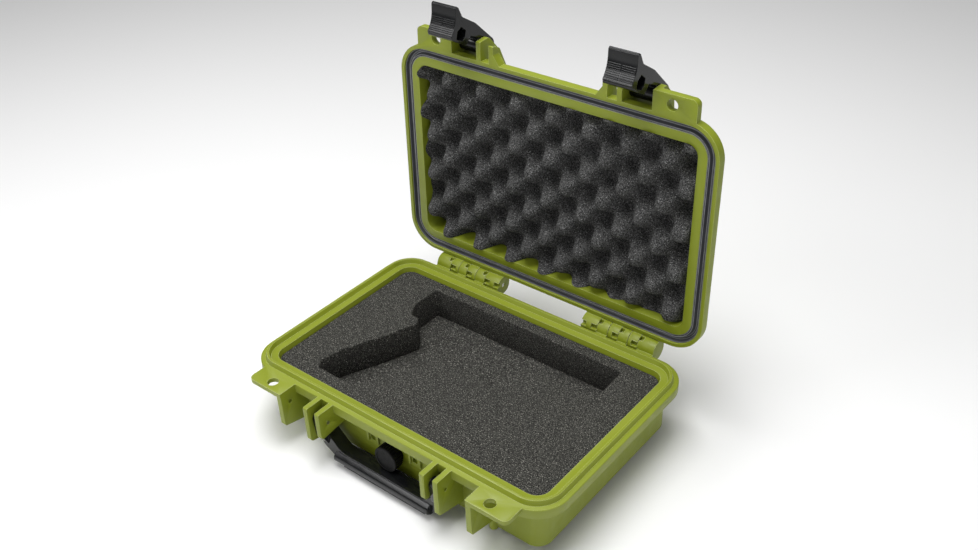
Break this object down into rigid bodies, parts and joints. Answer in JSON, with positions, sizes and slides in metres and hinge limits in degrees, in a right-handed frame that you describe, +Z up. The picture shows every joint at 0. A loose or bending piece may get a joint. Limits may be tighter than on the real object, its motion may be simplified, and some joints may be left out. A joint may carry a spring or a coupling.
{
  "type": "hard clamshell pistol case",
  "caption": "Waterproof moulded pistol case with a hinged lid, lever latches, folding handle, vent valve, sealing gasket, egg-crate lid foam and a pistol cut-out in the base foam.",
  "frame": {"origin": "centre of the base's flat underside, on the case's left-right mid-plane", "axes": "+Z up; -Y to the front, where the handle and latches are; +X to the right as seen from the front. The lid stands open 91 degrees."},
  "size_m": [0.31, 0.2634, 0.3194],
  "materials": {
    "shell": "satin",
    "black_plastic": "gloss",
    "knob_plastic": "matte",
    "lid_foam": "matte",
    "base_foam": "matte",
    "gasket": "matte",
    "seal": "matte",
    "steel": "satin",
    "valve_plastic": "matte"
  },
  "bodies": {
    "base": {"base_shell": "shell", "base_foam": "base_foam", "base_foam_pad": "base_foam", "hinge_pin_left": "steel", "hinge_pin_right": "steel", "handle_pin_left": "steel", "handle_pin_right": "steel", "valve_bushing": "valve_plastic", "valve_washer": "seal", "valve_nut": "valve_plastic"},
    "lid": {"lid_shell": "shell", "lid_gasket": "gasket", "lid_foam": "lid_foam", "latch_pin_left": "steel", "latch_pin_right": "steel"},
    "latch_left": {"latch_left": "black_plastic"},
    "latch_right": {"latch_right": "black_plastic"},
    "handle": {"handle": "black_plastic"},
    "valve_seal": {"valve_seal": "seal"},
    "valve_knob": {"valve_knob": "knob_plastic"}
  },
  "joints": [
    {"name": "lid_hinge", "type": "hinge", "parent": "base", "child": "lid", "pos_m": [0, 0.1105, 0.05], "axis": [1, 0, 0], "range_deg": [0, 91]},
    {"name": "latch_left_pivot", "type": "hinge", "parent": "lid", "child": "latch_left", "pos_m": [-0.0832, 0.1313, 0.26767], "axis": [1, 0, 0], "range_deg": [-35, 42]},
    {"name": "latch_right_pivot", "type": "hinge", "parent": "lid", "child": "latch_right", "pos_m": [0.0832, 0.1313, 0.26767], "axis": [1, 0, 0], "range_deg": [-35, 42]},
    {"name": "handle_pivot", "type": "hinge", "parent": "base", "child": "handle", "pos_m": [0, -0.108, 0.037], "axis": [1, 0, 0], "range_deg": [-105, 2]},
    {"name": "valve_screw_travel", "type": "slide", "parent": "base", "child": "valve_seal", "axis": [0, -1, 0], "range_m": [0, 0.000625]},
    {"name": "valve_knob_turn", "type": "hinge", "parent": "valve_seal", "child": "valve_knob", "pos_m": [0, -0.096, 0.0205], "axis": [0, -1, 0], "range_deg": [0, 180]}
  ],
  "couplings": [
    {"joint": "valve_knob_turn", "follows": "valve_screw_travel", "rad_per_m": 5026.5}
  ]
}
